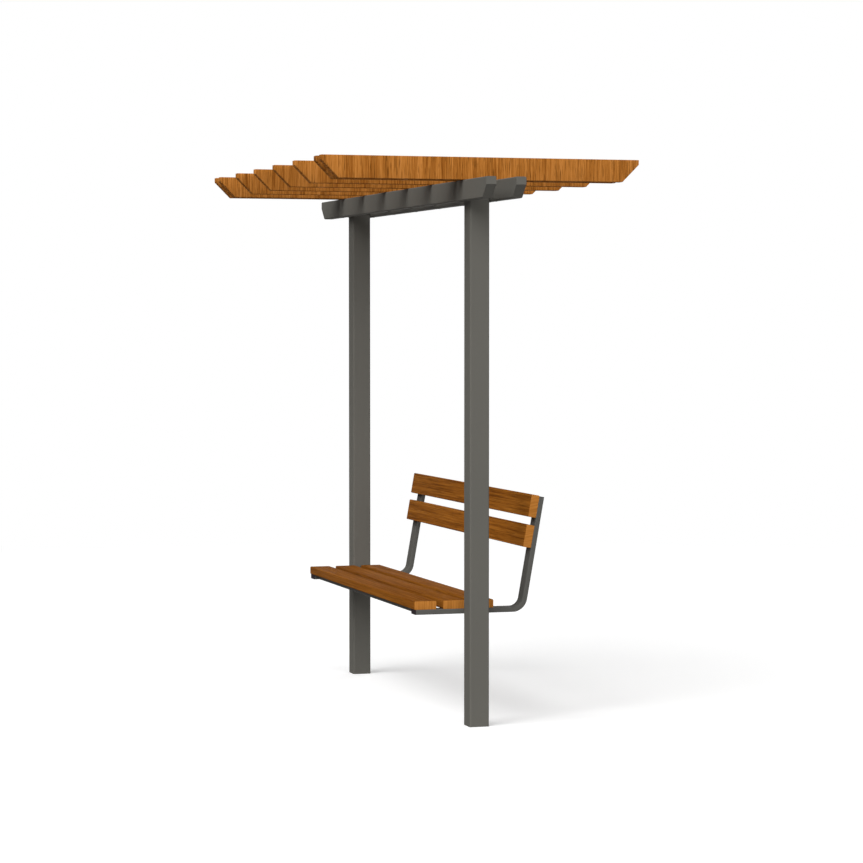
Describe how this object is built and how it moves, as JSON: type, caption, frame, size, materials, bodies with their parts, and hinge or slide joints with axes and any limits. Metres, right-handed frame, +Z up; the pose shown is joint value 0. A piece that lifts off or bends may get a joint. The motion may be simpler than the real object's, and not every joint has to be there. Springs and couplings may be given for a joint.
{
  "type": "pergola with bench",
  "caption": "Garden pergola of steel posts and beams with timber rafters, and a slatted bench with a leaning back hung between its posts.",
  "frame": {"origin": "centre of the near post's foot, on the ground", "axes": "+X towards the backrest side along the rafters, +Y along the beams to the far post, +Z up"},
  "size_m": [1.296, 2.436, 2.228],
  "materials": {
    "frame_paint": "matt powder coat, warm grey",
    "rafter_timber": "oiled, upright grain on the sides",
    "bench_timber": "oiled, grain along the length",
    "black_plastic": "matt black insert plug"
  },
  "bodies": {
    "root": {"post_near": "frame_paint", "post_far": "frame_paint", "foot_plate_near": "frame_paint", "foot_plate_far": "frame_paint", "post_cap_near": "frame_paint", "post_cap_far": "frame_paint", "beam_front": "frame_paint", "beam_back": "frame_paint", "beam_cap_front_near": "frame_paint", "beam_cap_front_far": "frame_paint", "beam_cap_back_near": "frame_paint", "beam_cap_back_far": "frame_paint", "rafter_1": "rafter_timber", "rafter_2": "rafter_timber", "rafter_3": "rafter_timber", "rafter_4": "rafter_timber", "rafter_5": "rafter_timber", "rafter_6": "rafter_timber", "rafter_7": "rafter_timber", "rafter_8": "rafter_timber", "seat_slat_front": "bench_timber", "seat_slat_middle": "bench_timber", "seat_slat_rear": "bench_timber", "back_board_lower": "bench_timber", "back_board_upper": "bench_timber", "bench_frame_near": "frame_paint", "bench_frame_far": "frame_paint", "seat_rail_front": "frame_paint", "plug_front_near": "black_plastic", "plug_front_far": "black_plastic", "plug_top_near": "black_plastic", "plug_top_far": "black_plastic"}
  },
  "joints": []
}
